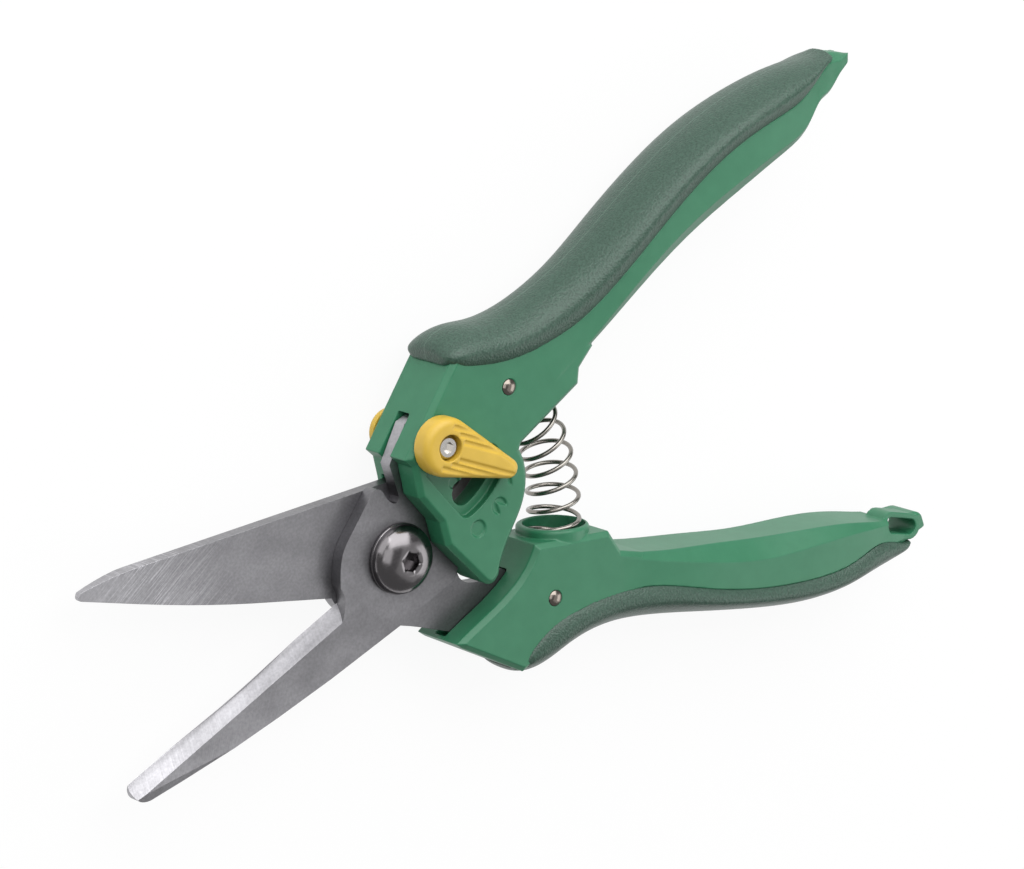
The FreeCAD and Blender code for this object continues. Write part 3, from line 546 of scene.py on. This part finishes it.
# ---------------------------------------------------------------- operators
class SHEARS_OT_blades(bpy.types.Operator):
    """Ground steel for both blades"""
    bl_idname = "shears.blades"
    bl_label = "Blades"

    def execute(self, context):
        settings = context.scene.shears_blades
        for side, body, finish in (
                ("front", "upper", {"angle": 62, "scratched": 0.2, "lit_from": 12 * MM}),
                ("rear", "lower", {"angle": 27, "scratched": 1.0, "lit_from": 60 * MM})):
            steel = ground_blade_steel(f"ground steel {side}", settings, **finish)
            blade = new_piece(f"{side}_blade_ground", ground_mesh(f"{side}_blade", settings.edge),
                              body, steel)
            blade.data.set_sharp_from_angle(angle=math.radians(12))
            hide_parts(f"{side}_blade")
        return {"FINISHED"}


class SHEARS_OT_handles(bpy.types.Operator):
    """Moulded nylon handles and their soft grips"""
    bl_idname = "shears.handles"
    bl_label = "Handles and grips"

    def execute(self, context):
        settings = context.scene.shears_handles
        nylon = moulded_nylon("moulded green nylon", settings.nylon, roughness=0.42)
        for side in ("upper", "lower"):
            handle = new_piece(f"{side}_handle_moulding",
                               moulded_mesh(f"{side}_handle", settings.skin, passes=1),
                               side, nylon)
            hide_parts(f"{side}_handle")
            low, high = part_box(f"{side}_grip")
            rubber = grained_rubber(f"grained rubber {side}", settings, (low.z + high.z) / 2)
            grip = new_piece(f"{side}_grip_moulding",
                             moulded_mesh(f"{side}_grip", settings.skin, passes=4),
                             side, rubber)
            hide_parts(f"{side}_grip")
        return {"FINISHED"}


class SHEARS_OT_bolt(bpy.types.Operator):
    """Pivot bolt, washer and lock nut"""
    bl_idname = "shears.bolt"
    bl_label = "Pivot bolt"

    def execute(self, context):
        settings = context.scene.shears_bolt
        mesh = bolt_mesh("pivot_bolt_polished", settings)
        steel = polished_steel("polished steel bolt", settings.steel, roughness=0.19)
        bolt = new_piece("pivot_bolt_polished", mesh, "upper", steel)
        mesh.set_sharp_from_angle(angle=math.radians(40))
        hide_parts("pivot_bolt")
        zinc = polished_steel("zinc plated steel", settings.zinc, roughness=0.32)
        dress("pivot_washer", zinc)
        dress("pivot_nut", zinc)
        dress("nut_ring", moulded_nylon("moulded white nylon", settings.collar, roughness=0.4))
        return {"FINISHED"}


class SHEARS_OT_spring(bpy.types.Operator):
    """Wire spring coiled round an arc about the pivot"""
    bl_idname = "shears.spring"
    bl_label = "Spring"

    def execute(self, context):
        settings = context.scene.shears_spring
        start_z, end_z = (sum(corner.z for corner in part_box(node)) / 2
                          for node in ("rear_blade", "front_blade"))
        mesh = wire_mesh("handle_spring_wire", settings, start_z, end_z)
        steel = polished_steel("drawn spring wire", settings.steel, roughness=0.22,
                               streak=0.1 * MM)
        spring = new_piece("handle_spring_wire", mesh, None, steel)
        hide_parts("handle_spring")
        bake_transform(spring)
        return {"FINISHED"}


class SHEARS_OT_latch(bpy.types.Operator):
    """Yellow levers, their screw and nut, and the three pins"""
    bl_idname = "shears.latch"
    bl_label = "Latch"

    def execute(self, context):
        settings = context.scene.shears_latch
        nylon = moulded_nylon("moulded yellow nylon", settings.nylon, roughness=0.4)
        for side in ("front", "back"):
            lever = new_piece(f"latch_lever_{side}_moulding",
                              moulded_mesh(f"latch_lever_{side}", settings.skin, passes=3),
                              "latch", nylon)
            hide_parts(f"latch_lever_{side}")
        nickel = polished_steel("nickel plated steel", settings.nickel, roughness=0.16)
        pins = polished_steel("drawn pin steel", settings.pins, roughness=0.18)
        for node in ("latch_screw", "latch_nut"):
            dress(node, nickel)
        for node in ("latch_pin", "upper_tang_pin", "lower_tang_pin"):
            dress(node, pins)
        return {"FINISHED"}


class SHEARS_OT_stage(bpy.types.Operator):
    """Pale floor, soft lamps and the camera"""
    bl_idname = "shears.stage"
    bl_label = "Stage"

    def execute(self, context):
        settings = context.scene.shears_stage
        scene = context.scene
        scene.view_settings.view_transform = "Standard"
        self.floor(scene, settings)
        self.room(scene, settings)
        self.lamps(scene)
        self.camera(scene, settings)
        return {"FINISHED"}

    def floor(self, scene, settings):
        """A matt white floor that the eye, and a mirror, sees as almost evenly white."""
        bm = bmesh.new()
        bmesh.ops.create_grid(bm, x_segments=2, y_segments=2, size=3.0)
        mesh = bpy.data.meshes.new("floor")
        bm.to_mesh(mesh)
        bm.free()
        floor = bpy.data.objects.new("floor", mesh)
        floor.location.z = CAD_BOX[0][2] - 0.1 * MM
        scene.collection.objects.link(floor)
        material, tree, output = new_material("painted white floor")
        paint = add_node(tree, "BsdfDiffuse", {"Color": settings.floor})
        glow = add_node(tree, "Emission", {"Color": (1, 1, 1), "Strength": 1.0})
        path = add_node(tree, "LightPath")
        seen = path.outputs["Is Camera Ray"]
        for ray in ("Is Glossy Ray", "Is Transmission Ray"):
            seen = add_node(tree, "Math", [seen, path.outputs[ray]], operation="MAXIMUM")
        share = add_node(tree, "Math", [seen, settings.glow], operation="MULTIPLY")
        feed(tree, output, {"Surface": add_node(tree, "MixShader", [share, paint, glow])})
        mesh.materials.append(material)

    def room(self, scene, settings):
        """Even light from all round."""
        world = bpy.data.worlds.new("studio room")
        scene.world = world
        world.use_nodes = True
        tree = world.node_tree
        tree.nodes.clear()
        light = add_node(tree, "Background", {
            "Color": (1, 1, 1), "Strength": settings.world,
        })
        add_node(tree, "OutputWorld", {"Surface": light})

    def lamps(self, scene):
        """Square softboxes: a name, the direction and distance from the shears, size, watts."""
        middle = Vector((30 * MM, 0, 10 * MM))
        rows = (
            ("key_softbox", (0.28, 0.72, 0.62), 1.0, 1.1, 11.5),
            ("back_softbox", (-0.50, 0.82, 0.25), 0.9, 0.8, 3.0),
            ("overhead_softbox", (0.50, -0.36, 0.785), 1.1, 1.3, 2.2),
            ("top_softbox", (-0.45, 0.25, 0.86), 1.2, 0.7, 2.0),
            ("right_softbox", (0.75, -0.45, 0.48), 0.55, 0.4, 0.7),
        )
        for name, direction, distance, size, power in rows:
            light = bpy.data.lights.new(name, "AREA")
            light.shape = "SQUARE"
            light.size = size
            light.energy = power
            lamp = bpy.data.objects.new(name, light)
            towards = Vector(direction).normalized()
            lamp.location = middle + towards * distance
            lamp.rotation_euler = towards.to_track_quat("Z", "Y").to_euler()
            scene.collection.objects.link(lamp)

    def camera(self, scene, settings):
        """A long lens that looks down at the shears."""
        data = bpy.data.cameras.new("camera")
        data.lens = settings.lens
        data.sensor_width = 36.0
        data.clip_start = 0.05
        data.clip_end = 20.0
        camera = bpy.data.objects.new("camera", data)
        camera.location = (-427.5 * MM, 340.5 * MM, 726.1 * MM)
        camera.rotation_euler = [math.radians(angle) for angle in (-12.281, -36.568, -15.611)]
        scene.collection.objects.link(camera)
        scene.camera = camera


class SHEARS_PT_pieces(bpy.types.Panel):
    """Buttons and settings of the shears"""
    bl_label = "Pruning shears"
    bl_idname = "SHEARS_PT_pieces"
    bl_space_type = "VIEW_3D"
    bl_region_type = "UI"
    bl_category = "Shears"

    def draw(self, context):
        for name, settings, operator in STEPS:
            box = self.layout.box()
            box.operator(operator.bl_idname)
            for field in settings.__annotations__:
                box.prop(getattr(context.scene, name), field)


STEPS = (
    ("shears_blades", BladeSettings, SHEARS_OT_blades),
    ("shears_handles", HandleSettings, SHEARS_OT_handles),
    ("shears_bolt", BoltSettings, SHEARS_OT_bolt),
    ("shears_spring", SpringSettings, SHEARS_OT_spring),
    ("shears_latch", LatchSettings, SHEARS_OT_latch),
    ("shears_stage", StageSettings, SHEARS_OT_stage),
)


def register():
    """Registers the settings, the operators and the panel."""
    for name, settings, operator in STEPS:
        bpy.utils.register_class(settings)
        setattr(bpy.types.Scene, name, bpy.props.PointerProperty(type=settings))
        bpy.utils.register_class(operator)
    bpy.utils.register_class(SHEARS_PT_pieces)


def unregister():
    """Takes everything away again."""
    bpy.utils.unregister_class(SHEARS_PT_pieces)
    for name, settings, operator in reversed(STEPS):
        bpy.utils.unregister_class(operator)
        delattr(bpy.types.Scene, name)
        bpy.utils.unregister_class(settings)


def main():
    """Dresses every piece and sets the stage."""
    register()
    bpy.ops.shears.blades()
    bpy.ops.shears.handles()
    bpy.ops.shears.bolt()
    bpy.ops.shears.spring()
    bpy.ops.shears.latch()
    bpy.ops.shears.stage()


if __name__ == "__main__":
    main()
